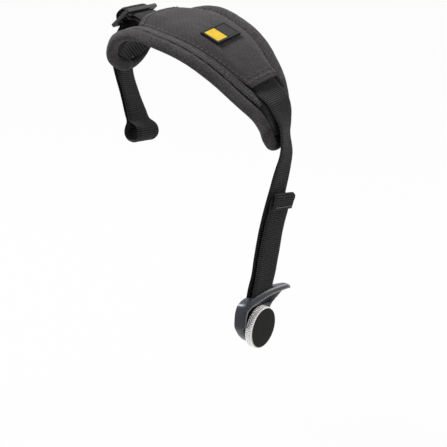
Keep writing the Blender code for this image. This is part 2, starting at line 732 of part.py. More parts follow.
def thumb_screw(steel, cap_m, coll):
    """Captive 1/4 inch screw with its knurled head; all of it turns about X."""
    r, a, b = KNOB_R, KNOB_X0, KNOB_X1
    turned("knob_rim", [(0.0, b - 0.75), (r - 0.9, b - 0.75), (r - 0.9, b), (r - 0.35, b),
                        (r, b - 0.35), (r, a + 0.4), (r - 0.4, a), (3.6, a), (3.6, a + 2.0),
                        (0.0, a + 2.0)], steel, coll)
    turned("knob_cap", [(0.0, b - 0.1), (r - 1.35, b - 0.1), (r - 1.2, b - 0.2), (r - 1.2, b - 0.45),
                        (0.0, b - 0.45)], cap_m, coll)
    thread = [(0.0, a + 1.7), (3.3, a + 1.7), (3.3, 1.2), (2.75, 1.1), (2.75, 0.0)]
    x = -0.2
    while x > STUD_IN + 0.9:
        thread += [(3.1, x - 0.3), (3.1, x - 0.45), (2.6, x - 0.8), (2.6, x - 0.95)]
        x -= 1.27
    thread += [(2.3, STUD_IN), (0.0, STUD_IN)]
    turned("threaded_stud", thread, steel, coll, 24)
    turned("retaining_clip", [(3.1, 0.7), (4.8, 0.7), (4.8, 0.3), (3.1, 0.3), (3.1, 0.7)],
           steel, coll, 32)
    turned("washer", [(3.7, 5.0), (7.2, 5.0), (7.2, 4.3), (3.7, 4.3), (3.7, 5.0)], steel, coll, 32)


ROLL_PATH = roll_path()

if __name__ == "__main__":
    main()
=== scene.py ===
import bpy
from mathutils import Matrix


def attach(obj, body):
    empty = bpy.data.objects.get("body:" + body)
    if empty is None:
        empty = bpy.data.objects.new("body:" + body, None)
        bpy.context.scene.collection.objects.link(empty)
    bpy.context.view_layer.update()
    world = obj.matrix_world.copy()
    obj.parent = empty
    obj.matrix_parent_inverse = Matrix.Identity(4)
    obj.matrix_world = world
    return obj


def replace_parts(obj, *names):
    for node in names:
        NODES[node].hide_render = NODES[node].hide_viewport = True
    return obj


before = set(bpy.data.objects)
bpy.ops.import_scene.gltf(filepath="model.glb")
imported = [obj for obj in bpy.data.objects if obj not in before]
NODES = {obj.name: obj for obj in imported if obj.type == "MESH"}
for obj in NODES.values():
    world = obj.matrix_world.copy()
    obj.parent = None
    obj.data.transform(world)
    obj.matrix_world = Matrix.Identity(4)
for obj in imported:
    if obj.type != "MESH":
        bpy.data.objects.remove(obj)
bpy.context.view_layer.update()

import math

import bmesh
import bpy
import numpy as np
from mathutils import Matrix, Vector, noise

MM = 0.001
CREASE = math.radians(35)   # sharper edges are bevelled, and stay creased in the shading

# Sizes in mm, as in the part's source where it has them too.
GAP = 0.4                               # between layers that are stitched together
WEB_W, WEB_T, LAYER = 16.0, 1.2, 0.8    # webbing, and half the step between two layers of it
WEB_OFF_L, WEB_OFF_R = 4.0, 2.1         # the webbing's place across the band at each end
BAND = [                                # point, direction across, half width and crown
    (-91.4, 7.2, 99.8, 0.10, 0.99, 0.02, 14.5, 0.6),
    (-94.2, 7.0, 106.8, 0.08, 0.99, 0.05, 15.8, 1.0),
    (-93.4, 6.6, 115.0, 0.05, 0.99, 0.08, 17.4, 1.2),
    (-88.8, 5.8, 122.9, 0.04, 0.985, 0.13, 20.0, 1.2),
    (-81.6, 5.0, 128.0, 0.05, 0.97, 0.165, 22.0, 1.2),
    (-72.4, 4.8, 130.9, 0.05, 0.97, 0.186, 23.0, 1.2),
    (-61.5, 4.3, 131.3, 0.05, 0.97, 0.24, 24.0, 1.0),
    (-40.1, 3.6, 127.0, 0.066, 0.96, 0.27, 22.2, 1.0),
    (-20.8, 3.0, 118.4, 0.10, 0.94, 0.30, 19.6, 1.5),
    (-8.6, 2.0, 111.0, 0.12, 0.93, 0.289, 17.6, 2.4),
    (2.2, 0.6, 101.5, 0.00, 0.97, 0.20, 14.0, 4.2),
    (6.2, -0.4, 94.0, -0.18, 0.97, 0.10, 12.4, 5.0),
    (5.0, 0.0, 81.6, -0.14, 0.99, 0.03, 11.0, 4.4),
]
END_L, END_R = 14.0, 9.0                # the band's rounded ends
ROLL_R, ROLL_C, ROLL_N = 2.8, 3.35, -2.75   # rolled edge: radius, inset and height
FAR_SHIFT, FAR_LIFT, FAR_WIDE = 2.2, 0.7, 1.6   # how the far roll moves out, up and widens
FAR_PROUD = 0.9                         # and how much higher it is than the solid one
FOAM_T, FOAM_TOP, LINING_T, PANEL_T = 3.7, -1.9, 0.8, 0.8
TAPE_W, SLEEVE_L, SLEEVE_R, HEM_W = 3.4, 39.5, 110.0, 3.2
TOP_PUFF, FAR_SEAM = 0.12, 1.1          # the sleeve's wrinkles, and its height at the far seam
SL_SLOT, SL_BAR, SL_T = 3.9, 2.2, 2.0   # slider: slots, bars and thickness
SL_S, SL_SHIFT, SL_TILT, SL_RISE = 25.5, 0.3, -2.0, 6.7     # and its place on the band
PIN_X, PIN_Z, PIN_TURN, LOOP_R = 2.5, 11.7, 1.6, 4.4    # webbing's turns round pin and lug
TAIL_S, PAIR_RISE, FLAP, COLS = 42.5, -0.1, 7.6, 4
KNOB_R, KNOB_X0, KNOB_X1, STUD_IN = 10.1, 5.3, 9.2, -5.2
CELL = 2.5                              # pitch of the lining's open cells


# Geometry of the band
def unit(v):
    v = np.asarray(v, float)
    return v / np.linalg.norm(v, axis=-1, keepdims=True)


def smooth(x):
    x = np.clip(x, 0.0, 1.0)
    return x * x * (3 - 2 * x)


def run_length(pts):
    """Distance along pts at each of them."""
    return np.concatenate(([0], np.cumsum(np.linalg.norm(np.diff(pts, axis=0), axis=1))))


def hermite(p, d, ts):
    """Cubic Hermite through the rows p, which stand at the distances d."""
    m = np.gradient(p, d, axis=0)
    ts = np.clip(np.atleast_1d(np.asarray(ts, dtype=float)), 0.0, d[-1])
    k = np.clip(np.searchsorted(d, ts, side="right") - 1, 0, len(d) - 2)
    h = (d[k + 1] - d[k])[:, None]
    u = ((ts - d[k]) / h[:, 0])[:, None]
    return ((2 * u**3 - 3 * u**2 + 1) * p[k] + (u**3 - 2 * u**2 + u) * h * m[k]
            + (3 * u**2 - 2 * u**3) * p[k + 1] + (u**3 - u**2) * h * m[k + 1])


def spline(rows, ts):
    """A curve through rows, parametrised by the distance between their points."""
    p = np.asarray(rows, dtype=float)
    return hermite(p, run_length(p[:, :3]), ts)


def length(rows):
    p = np.asarray(rows, dtype=float)[:, :3]
    return float(np.linalg.norm(np.diff(p, axis=0), axis=1).sum())


BAND_L = length(BAND)


def frames(s):
    """Point, tangent, across, normal, half width and crown of the band at lengths s."""
    s = np.atleast_1d(np.asarray(s, float))
    v = spline(BAND, s)
    t = unit(spline(BAND, s + 0.5)[:, :3] - spline(BAND, s - 0.5)[:, :3])
    w = unit(v[:, 3:6])
    return v[:, :3], t, w, unit(np.cross(t, w)), v[:, 6], v[:, 7]


def surf(s, w, n=0.0):
    """Points w across and n above the crowned reference face; any matching shapes."""
    s, w, n = np.broadcast_arrays(np.asarray(s, float), np.asarray(w, float), np.asarray(n, float))
    c, _, wd, nd, half, crown = frames(s.ravel())
    ww, nn = w.reshape(-1, 1), n.reshape(-1, 1)
    k = (crown / half**2)[:, None]
    up = unit(nd + 2 * k * ww * wd)
    return (c + wd * ww - nd * k * ww * ww + up * nn).reshape(s.shape + (3,))


def normal_at(s, w):
    return unit(surf(s, w, 1.0) - surf(s, w, 0.0))


def web_off(s):
    return WEB_OFF_L + (WEB_OFF_R - WEB_OFF_L) * smooth((s - 40) / 70)


def far_wide(s):
    return FAR_WIDE * smooth((s - 22) / 24) * smooth((BAND_L - 26 - s) / 30)


def far_slim(s):
    """How much further the cloth reaches at the far side than the solid sleeve does."""
    return 1.5 * far_wide(s)


def slim(s):
    """1 at the band's left end, where the far roll is thinner, to 0."""
    return 1 - smooth((s - 12) / 16)


def far_shift(s):
    return FAR_SHIFT * smooth((s - 30) / 20) * smooth((BAND_L - 38 - s) / 32)


def band_half(s):
    s = np.asarray(s, float)
    k = np.where(s < END_L, (1 - np.clip((END_L - s) / END_L, 0, 1) ** 2.2) ** (1 / 2.2), 1.0)
    e = np.clip((s - BAND_L + END_R) / END_R, 0, 1)
    return frames(s)[4] * k * np.where(s > BAND_L - END_R, (1 - e**2.2) ** (1 / 2.2), 1.0)


def roll_path():
    """Middle line of a rolled edge as (s, w), from the left tip to the right tip."""
    ss = np.concatenate((np.linspace(0, 1, 40) ** 2 * END_L,
                         np.linspace(END_L, BAND_L - END_R, 70)[1:],
                         BAND_L - END_R * np.linspace(1, 0, 40)[1:] ** 2))
    w = band_half(ss) - ROLL_C
    out = [(ROLL_C + (BAND_L - 2 * ROLL_C) * a / BAND_L, b) for a, b in zip(ss, w) if b > 3.0]
    first, last = out[0][0], out[-1][0]
    tips = (0.3, 1.2, 2.2)
    return np.array([(first, w) for w in tips] + out + [(last, w) for w in tips[::-1]])


ROLL_PATH = roll_path()


def core_half_one(s):
    d = ROLL_R + GAP + 0.3
    half, crown = (v[0] for v in frames([s])[4:])
    wide = d / (1 - 2 * crown / half**2 * 4.2)
    ds = (ROLL_PATH[:, 0] - s) * 0.64 / d
    near = np.abs(ds) < 1
    if not near.any():
        return 0.0
    return float((ROLL_PATH[near, 1] - wide * np.sqrt(1 - ds[near] ** 2)).min())


CORE_S = np.arange(0.0, BAND_L, 0.25)
CORE_W = np.array([core_half_one(s) for s in CORE_S])


def core_half(s):
    return np.interp(s, CORE_S, CORE_W)


def sleeve_low(s, w):
    """Inner face of the sleeve's fabric: flat on the core, raised over the webbing."""
    over = WEB_T + GAP + 2 * LAYER * 1.08 * (1 - smooth((s - TAIL_S - 1.5) / 7))
    return FOAM_TOP + GAP + over * (1 - smooth((np.abs(w - web_off(s)) - 8.4) / 2.6))


def sleeve_edge(s):
    half = core_half(s)
    return -(half - TAPE_W - 0.3), half + far_shift(s) + far_slim(s) - 0.1


# The webbing's route, as in the part's source
FRONT = [
    (8.7, 2.5, 63.8, 0.04, 1.0, -0.08), (7.8, 2.6, 58.0, 0.02, 1.0, -0.06),
    (5.9, 2.9, 46.0, 0.02, 1.0, -0.04), (5.1, 3.0, 34.0, 0.04, 1.0, -0.02),
    (4.7, 3.0, 24.0, 0.02, 1.0, 0.00), (4.1, 3.0, 16.5, 0.00, 1.0, 0.00),
    (4.1, 3.0, 12.5, 0.00, 1.0, 0.00),
]
LUG = [
    (-97.0, 10.4, 115.8, 0.02, 0.99, 0.08), (-98.2, 11.0, 108.0, -0.06, 0.99, 0.02),
    (-96.8, 12.0, 100.0, -0.16, 0.98, -0.06), (-92.4, 12.8, 90.0, -0.13, 0.98, -0.10),
    (-86.2, 13.4, 78.0, 0.00, 1.0, 0.00),
]
BACK = [
    (0.9, 3.0, 12.5, 0.00, 1.0, 0.00), (1.0, 3.0, 16.5, 0.00, 1.0, 0.00),
    (2.2, 2.9, 24.0, 0.02, 1.0, -0.01), (2.8, 2.7, 34.0, 0.04, 1.0, -0.02),
    (3.6, 2.3, 48.0, 0.00, 1.0, -0.05), (5.9, 2.0, 65.4, -0.06, 1.0, -0.08),
    (7.2, 2.2, 76.4, -0.12, 0.99, -0.08), (7.7, 2.5, 83.0, -0.20, 0.98, -0.04),
]


def row(p, w):
    w, p = unit(w), np.asarray(p, float)
    pts = [p + w * WEB_W * (k / COLS - 0.5) for k in range(COLS + 1)]
    return np.concatenate([p] + pts)


def across(r):
    return unit(r[-3:] - r[3:6])


def band_row(s, n, conform=1.0):
    o = float(web_off(s))
    mid = surf(s, o, n)
    flat = row(mid, surf(s, o + 1, n) - surf(s, o - 1, n))
    on = np.concatenate([mid] + [surf(s, o + WEB_W * (k / COLS - 0.5), n) for k in range(COLS + 1)])
    return flat + (on - flat) * float(conform)


def slider_frame():
    s, o = SL_S, float(web_off(SL_S)) + 1.1
    t, wd = frames(s)[1][0], unit(surf(s, o + 8) - surf(s, o - 8))
    t = unit(t - wd * np.dot(t, wd))
    n = np.cross(t, wd)
    c, q = math.cos(math.radians(SL_TILT)), math.sin(math.radians(SL_TILT))
    return surf(s, o) + n * SL_RISE + wd * SL_SHIFT, t * c + n * q, wd, n * c - t * q


def weave():
    r = 2.05
    pts = [(SL_BAR / 2 + SL_SLOT + r * math.cos(math.radians(a)),
            -SL_T / 2 + r * math.sin(math.radians(a))) for a in (270, 240, 210, 180, 155)]
    pts += [(SL_BAR / 2 + r * math.cos(math.radians(a)), SL_T / 2 + r * math.sin(math.radians(a)))
            for a in (-25, 0, 30, 60, 90)]
    return pts + [(-a, b) for a, b in pts[::-1]]


def resample(rows, step):
    total = length(rows)
    n = max(2, int(round(total / step)))
    return list(spline(rows, np.linspace(0, total, n + 1)))


def offset_rows(rows, d):
    out, n = [], len(rows)
    for i, r in enumerate(rows):
        t = unit(rows[min(i + 1, n - 1)][:3] - rows[max(i - 1, 0)][:3])
        out.append(r + np.tile(unit(np.cross(t, across(r))) * d, len(r) // 3))
    return out


def ribbon_rows():
    """Every row of the one long webbing, from the sewn end to the tail's tip."""
    front = resample([row(f[:3], f[3:]) for f in FRONT], 3.2)
    flap = [r for r in offset_rows(front, 2 * LAYER) if r[2] > FRONT[0][2] - FLAP]
    top = front[0]
    n = unit(flap[0][:3] - top[:3])
    up = unit(front[0][:3] - front[1][:3])
    rows = flap[::-1]
    for k in (1, 2, 3):
        a = math.pi * k / 4
        rows.append(top + np.tile(n * LAYER * (1 + math.cos(a)) + up * LAYER * math.sin(a),
                                  len(top) // 3))
    rows += front
    for k in range(1, 8):
        a = math.pi * k / 8
        turn = (PIN_X + PIN_TURN * math.cos(a), FRONT[-1][1], PIN_Z - PIN_TURN * math.sin(a))
        rows.append(row(turn, (0, 1, 0)))
    lay = FOAM_TOP + GAP + WEB_T / 2
    up_rows = [row(b[:3], b[3:]) for b in BACK]
    for s in (BAND_L - 10, BAND_L - 15, BAND_L - 20, BAND_L - 25):
        up_rows.append(band_row(s, lay + 1.5 * smooth((s - SLEEVE_R - 1) / 9), 0.0))
    rows += resample(up_rows, 3.0)
    for s in np.arange(SLEEVE_R + 3.0, TAIL_S + 4, -3.4):
        rows.append(band_row(s, lay, smooth((SLEEVE_R + 4.4 - s) / 4)))
    p, t, wd, nn = slider_frame()
    pair = [band_row(s, PAIR_RISE + rise, smooth((s - SL_S - 7) / 6)) for s, rise in
            ((TAIL_S, 0.0), (39.5, 0.0), (37.0, 0.0), (35.0, 0.5))]
    for a, b in weave():
        pair.append(row(p - wd * SL_SHIFT + t * a + nn * b, wd))
    for st in LUG:
        pair.append(row(st[:3], st[3:]))
    fine = resample(pair, 1.3)
    fine = [r for i, r in enumerate(fine[::-1]) if r[2] > 121 or i % 3 == 0][::-1]
    inner = offset_rows(fine, LAYER)
    outer = offset_rows(fine, -LAYER)
    rows += inner
    t = unit(fine[-1][:3] - fine[-2][:3])
    side = unit(inner[-1][:3] - outer[-1][:3])
    a0 = math.radians(-40)
    reach = (LOOP_R * math.cos(a0) - LAYER) / math.tan(-a0) - LOOP_R * math.sin(a0)
    c = (inner[-1] + outer[-1]) / 2 + np.tile(t * reach, len(top) // 3)
    for k in range(13):
        a = a0 + (math.pi - 2 * a0) * k / 12
        rows.append(c + np.tile((side * math.cos(a) + t * math.sin(a)) * LOOP_R, len(top) // 3))
    return rows + outer[::-1]


# Mesh helpers; all take millimetres
def closed_mesh(name, verts, faces, uv=None):
    me = bpy.data.meshes.new(name)
    me.from_pydata((np.asarray(verts, float) * MM).tolist(), [], [list(f) for f in faces])
    if uv is not None:
        layer = me.uv_layers.new(name="UVMap")
        idx = np.zeros(len(me.loops), np.int32)
        me.loops.foreach_get("vertex_index", idx)
        layer.data.foreach_set("uv", np.asarray(uv, float)[idx].astype(np.float32).ravel())
    bm = bmesh.new()
    bm.from_mesh(me)
    bmesh.ops.recalc_face_normals(bm, faces=bm.faces[:])
    bm.to_mesh(me)
    bm.free()
    return me


def linked(name, data):
    ob = bpy.data.objects.new(name, data)
    bpy.context.scene.collection.objects.link(ob)
    return ob


def mesh_object(name, verts, faces, uv=None, body="strap", slot=None, mat=None, sharp=50.0):
    """A piece of the scene, shaded smooth apart from edges sharper than sharp degrees."""
    me = closed_mesh(name, verts, faces, uv)
    me.shade_smooth()
    if sharp:
        me.set_sharp_from_angle(angle=math.radians(sharp))
    ob = linked(name, me)
    if mat:
        me.materials.append(mat)
    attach(ob, body)
    return ob


def loft_faces(n, m, closed=False, caps=True):
    i = np.arange(n if closed else n - 1)[:, None]
    k = np.arange(m)[None, :]
    a, b = i * m, ((i + 1) % n) * m
    k2 = (k + 1) % m
    f = np.stack(np.broadcast_arrays(a + k, a + k2, b + k2, b + k), -1).reshape(-1, 4).tolist()
    if caps and not closed:
        f += [list(range(m)), list(range((n - 1) * m, n * m))]
    return f


def loft(name, rings, uv, closed=False, **kw):
    """A closed solid through closed rings (n, m, 3); uv is (n, m, 2) in mm."""
    n, m = rings.shape[:2]
    return mesh_object(name, rings.reshape(-1, 3), loft_faces(n, m, closed), uv.reshape(-1, 2), **kw)


def slab_rings(s, lo, hi, low, high, cols, edge=0.25, puff=None, sink=0.0):
    """Rings of a sheet on the band: s (n,), edges lo and hi, and faces low and high,
    functions of (s, w). The edges are rounded, and the outer face sinks by sink at them."""
    s = np.asarray(s, float)
    k = np.linspace(0, 1, cols)
    k = 0.5 * (k + smooth(k))
    wt = lo[:, None] + (hi - lo)[:, None] * k[None, :]
    ss = np.broadcast_to(s[:, None], wt.shape)
    top, bot = high(ss, wt), low(ss, wt)
    near = np.minimum(wt - lo[:, None], hi[:, None] - wt)
    mid = (top + bot) / 2
    rnd = np.clip(near / np.maximum(edge, 1e-6), 0, 1)
    swell = np.sqrt(np.clip(1 - (1 - rnd) ** 2, 0.02, 1))
    top = mid + (top - mid) * swell - sink * (1 - smooth(near / 1.6))
    bot = mid + (bot - mid) * swell
    if puff is not None:
        top = top + puff(ss, wt)
    s2 = np.concatenate((ss, ss[:, ::-1]), 1)
    w2 = np.concatenate((wt, wt[:, ::-1]), 1)
    n2 = np.concatenate((top, bot[:, ::-1]), 1)
    return surf(s2, w2, n2), np.stack((s2, w2), -1)


def noise2(a, b, seed=0.0, octaves=2):
    """Smooth noise of two arrays, about -1 to 1."""
    a, b = np.broadcast_arrays(np.asarray(a, float), np.asarray(b, float))
    out = np.zeros(a.size)
    for j, (x, y) in enumerate(zip(a.ravel(), b.ravel())):
        out[j] = noise.noise(Vector((x, y, seed))) + (
            0.5 * noise.noise(Vector((2.1 * x, 2.1 * y, seed + 9))) if octaves > 1 else 0.0)
    return out.reshape(a.shape)


def tube(name, pts, ups, ra, rb, sides, closed=False, **kw):
    """An oval tube along pts; half widths ra across and rb along ups, arrays per point."""
    pts, ups = np.asarray(pts, float), np.asarray(ups, float)
    t = unit(np.roll(pts, -1, 0) - np.roll(pts, 1, 0) if closed else np.gradient(pts, axis=0))
    d = run_length(pts)
    u = unit(ups - t * (ups * t).sum(1, keepdims=True))
    b = np.cross(t, u)
    a = 2 * math.pi * np.arange(sides) / sides
    ra, rb = np.broadcast_to(ra, len(pts)), np.broadcast_to(rb, len(pts))
    rings = (pts[:, None] + b[:, None] * (ra[:, None] * np.cos(a))[..., None]
             + u[:, None] * (rb[:, None] * np.sin(a))[..., None])
    fold = np.abs((a + math.pi / 2 + math.pi) % (2 * math.pi) - math.pi)
    uv = np.stack(np.broadcast_arrays(d[:, None], fold[None, :] * rb[:, None]), -1)
    return loft(name, rings, uv, closed=closed, **kw)


def stitches(name, runs, mat, pitch=2.6, long=1.9, r=0.17, **kw):
    """Thread lying on a surface: runs are (points, normals) of each seam."""
    verts, faces, sides = [], [], 6
    for pts, nrm in runs:
        pts, nrm = np.asarray(pts, float), np.asarray(nrm, float)
        d = run_length(pts)
        n = max(1, int(d[-1] / pitch))
        for i in range(n):
            mid = d[-1] * (i + 0.5) / n
            u = np.linspace(-0.5, 0.5, 7)
            q = np.stack([np.interp(mid + u * long, d, pts[:, c]) for c in range(3)], 1)
            m = unit([np.interp(mid, d, nrm[:, c]) for c in range(3)])
            t = unit(q[-1] - q[0])
            b = np.cross(t, m)
            rr = r * np.sqrt(np.clip(1 - (2 * u) ** 4, 0.03, 1))
            q = q + m * (0.55 * r - 0.9 * r * (2 * u[:, None]) ** 4)
            base = sum(len(v) for v in verts)
            a = 2 * math.pi * np.arange(sides) / sides
            ring = (q[:, None] + (b[None, None] * np.cos(a)[None, :, None]
                    + m[None, None] * np.sin(a)[None, :, None]) * rr[:, None, None])
            verts.append(ring.reshape(-1, 3))
            faces += [[x + base for x in f] for f in loft_faces(7, sides)]
    return mesh_object(name, np.concatenate(verts), faces, mat=mat, **kw)


def lathe(name, prof, steps, **kw):
    """A solid turned about the X axis from (radius, x) points."""
    a = 2 * math.pi * np.arange(steps) / steps
    prof = np.asarray(prof, float)
    rings = np.stack((np.broadcast_to(prof[:, None, 1], (len(prof), steps)),
                      prof[:, None, 0] * np.cos(a), prof[:, None, 0] * np.sin(a)), -1)
    return mesh_object(name, rings.reshape(-1, 3), loft_faces(*rings.shape[:2]), **kw)


# Material helpers
def new_mat(name, rgb, rough, metal=0.0, **sockets):
    m = bpy.data.materials.new(name)
    m.use_nodes = True
    b = m.node_tree.nodes["Principled BSDF"]
    b.inputs["Base Color"].default_value = (*rgb, 1)
    b.inputs["Roughness"].default_value = rough
    b.inputs["Metallic"].default_value = metal
    for k, v in sockets.items():
        b.inputs[k.replace("_", " ")].default_value = v
    return m, m.node_tree, b


def node(nt, kind, ins=None, **props):
    nd = nt.nodes.new(kind)
    for k, v in props.items():
        setattr(nd, k, v)
    for k, v in (ins or {}).items():
        if isinstance(v, bpy.types.NodeSocket):
            nt.links.new(v, nd.inputs[k])
        else:
            nd.inputs[k].default_value = v
    return nd


def op(nt, kind, a, b=0.0, c=None, clamp=False):
    ins = {0: a, 1: b}
    if c is not None:
        ins[2] = c
    return node(nt, "ShaderNodeMath", ins, operation=kind, use_clamp=clamp).outputs[0]


def uv_mm(nt):
    sep = node(nt, "ShaderNodeSeparateXYZ", {0: node(nt, "ShaderNodeUVMap", uv_map="UVMap").outputs[0]})
    return sep.outputs[0], sep.outputs[1]


def sine(nt, x, pitch):
    """0 to 1 wave of x with that pitch."""
    return op(nt, "MULTIPLY_ADD", op(nt, "SINE", op(nt, "MULTIPLY", x, 2 * math.pi / pitch)), 0.5, 0.5)


def noise_tex(nt, scale, detail=3.0, rough=0.55, vec=None):
    """Noise in the row frame's millimetres."""
    if vec is None:
        geo = node(nt, "ShaderNodeTexCoord").outputs["Object"]
        vec = node(nt, "ShaderNodeVectorMath", {0: geo, "Scale": 1000.0}, operation="SCALE").outputs[0]
    return node(nt, "ShaderNodeTexNoise", {"Vector": vec, "Scale": scale, "Detail": detail,
                                           "Roughness": rough}).outputs["Fac"]


def ramp(nt, fac, stops):
    nd = node(nt, "ShaderNodeValToRGB", {0: fac})
    el = nd.color_ramp.elements
    el[0].position, el[0].color = stops[0][0], (*stops[0][1], 1)
    el[1].position, el[1].color = stops[-1][0], (*stops[-1][1], 1)
    for pos, col in stops[1:-1]:
        e = el.new(pos)
        e.color = (*col, 1)
    return nd.outputs[0]


def bump(nt, b, height, dist):
    """Bump of dist mm where height goes from 0 to 1."""
    nd = node(nt, "ShaderNodeBump", {"Height": height, "Distance": dist * MM, "Strength": 1.0})
    nt.links.new(nd.outputs[0], b.inputs["Normal"])


def cloth(name, pattern, dark, light, dist, tint=(1.0, 0.97, 0.99), sheen=0.12, wear=0.16, mottle=0.0,
          grain=0.7):
    """Woven cloth: pattern(nt, x, y) gives its thread height, 0 to 1, and dist its relief in mm.
    wear and mottle shade it in wide patches and in fine grain."""
    m, nt, b = new_mat(name, [light * c for c in tint], 0.85,
                       Sheen_Weight=sheen, Sheen_Roughness=0.5, Specular_IOR_Level=0.12)
    x, y = uv_mm(nt)
    h = pattern(nt, x, y)
    big = noise_tex(nt, 0.09, 3.0)
    fine = noise_tex(nt, 2.2, 2.0)
    mix = op(nt, "ADD", op(nt, "MULTIPLY", h, 0.62), op(nt, "MULTIPLY", fine, 0.38))
    mix = op(nt, "ADD", mix, op(nt, "MULTIPLY", op(nt, "SUBTRACT", big, 0.5), 2.2 * wear))
    clump = noise_tex(nt, grain, 2.0, 0.7)
    mix = op(nt, "ADD", mix, op(nt, "MULTIPLY", op(nt, "SUBTRACT", clump, 0.5), 2.0 * mottle))
    col = ramp(nt, mix, [(at, [v * c for c in tint]) for at, v in
                         ((0.12, dark), (0.55, (dark + light) / 2), (0.95, light))])
    nt.links.new(col, b.inputs["Base Color"])
    tall = op(nt, "ADD", op(nt, "ADD", h, op(nt, "MULTIPLY", fine, 0.35)),
              op(nt, "MULTIPLY", clump, 2.5 * mottle))
    bump(nt, b, tall, dist)
    return m


def twill(nt, x, y):
    d = op(nt, "ADD", x, op(nt, "MULTIPLY", y, 0.8))
    e = op(nt, "SUBTRACT", x, op(nt, "MULTIPLY", y, 1.3))
    rib = sine(nt, d, 0.80)
    cell = sine(nt, e, 0.62)
    return op(nt, "MULTIPLY", rib, op(nt, "MULTIPLY_ADD", cell, 0.45, 0.55))


def knit(nt, x, y):
    rib = sine(nt, x, 0.62)
    loop = sine(nt, op(nt, "ADD", y, op(nt, "MULTIPLY", rib, 0.18)), 0.5)
    return op(nt, "MULTIPLY", op(nt, "MULTIPLY_ADD", rib, 0.6, 0.4),
              op(nt, "MULTIPLY_ADD", loop, 0.5, 0.5))


def ribs(nt, x, y):
    rib = op(nt, "POWER", sine(nt, x, 1.0), 1.5)
    pick = sine(nt, y, 1.05)
    return op(nt, "MULTIPLY", rib, op(nt, "MULTIPLY_ADD", pick, 0.55, 0.45))


def pebble(nt, x, y):
    a, b = sine(nt, x, 1.25), sine(nt, y, 0.95)
    return op(nt, "MULTIPLY", a, b)


def open_mesh(nt, x, y):
    """Low in the middle of the open cells that the lining's shape has, high between them."""
    a = op(nt, "COSINE", op(nt, "MULTIPLY", x, 2 * math.pi / CELL))
    b = op(nt, "COSINE", op(nt, "MULTIPLY", y, 2 * math.pi / (CELL * 0.9)))
    hole = op(nt, "MULTIPLY_ADD", op(nt, "MULTIPLY", a, b), 3.0, -0.75, clamp=True)
    thread = sine(nt, op(nt, "ADD", x, y), 0.5)
    return op(nt, "MULTIPLY", op(nt, "SUBTRACT", 1.0, hole), op(nt, "MULTIPLY_ADD", thread, 0.3, 0.7))


M_TWILL = cloth("Twill", twill, 0.026, 0.085, 0.12, tint=(1.06, 0.96, 1.0), mottle=0.3)
M_KNIT = cloth("EdgeKnit", knit, 0.016, 0.112, 0.18, tint=(1.05, 0.96, 0.99), wear=0.25,
               mottle=0.6, grain=1.1)
M_BIND = cloth("Binding", pebble, 0.030, 0.150, 0.16, tint=(1.03, 0.97, 0.98), mottle=0.4)
M_WEB = cloth("Webbing", ribs, 0.002, 0.085, 0.32, tint=(1.06, 0.98, 1.0), sheen=0.06)
M_MESH = cloth("LiningMesh", open_mesh, 0.003, 0.085, 0.25)
M_FOAM = cloth("PadCloth", knit, 0.03, 0.10, 0.10)
M_THREAD = new_mat("Thread", (0.085, 0.08, 0.082), 0.6, Sheen_Weight=0.3)[0]
M_THREAD_LIGHT = new_mat("ThreadLight", (0.21, 0.2, 0.2), 0.55, Sheen_Weight=0.3)[0]


def plastic(name, rgb, rough, grain=0.05, coat=0.0, edge=0.3):
    m, nt, b = new_mat(name, rgb, rough, Coat_Weight=coat, Coat_Roughness=0.25, Specular_IOR_Level=0.3)
    f = noise_tex(nt, 3.2, 4.0)
    g = noise_tex(nt, 0.25, 3.0)
    dark = [c * 0.8 for c in rgb]
    lite = [min(1, c * (1 + edge)) for c in rgb]
    nt.links.new(ramp(nt, g, [(0.3, dark), (0.7, lite)]), b.inputs["Base Color"])
    r = op(nt, "MULTIPLY_ADD", f, 0.22, rough - 0.11)
    nt.links.new(r, b.inputs["Roughness"])
    bump(nt, b, f, grain)
    return m


M_FOOT = plastic("FootPlastic", (0.022, 0.025, 0.036), 0.34, 0.05, coat=0.2)
# painted highlight: the foot's front rim face gets a much lighter, glossier plastic than the foot,
# standing in for the light that catches that edge
M_RIM_PAINTED_HIGHLIGHT = plastic("FootRimPaintedHighlight", (0.17, 0.175, 0.19), 0.24, 0.04, coat=0.4)
M_SLIDER = plastic("SliderPlastic", (0.028, 0.028, 0.030), 0.36, 0.05, coat=0.1)
M_RUBBER = plastic("FootRubber", (0.016, 0.016, 0.017), 0.8, 0.08)
M_LABEL_B = plastic("LabelBlack", (0.012, 0.012, 0.013), 0.45, 0.03)
M_LABEL_Y = plastic("LabelYellow", (0.90, 0.60, 0.045), 0.5, 0.04, edge=0.06)
M_WASHER = plastic("WasherNylon", (0.02, 0.02, 0.02), 0.55, 0.03)


def axis_distance(nt):
    """Distance from the screw's axis, in mm."""
    pos = node(nt, "ShaderNodeTexCoord").outputs["Object"]
    sep = node(nt, "ShaderNodeSeparateXYZ", {0: pos})
    y, z = (op(nt, "MULTIPLY", sep.outputs[i], 1000.0) for i in (1, 2))
    return op(nt, "SQRT", op(nt, "ADD", op(nt, "MULTIPLY", y, y), op(nt, "MULTIPLY", z, z)))


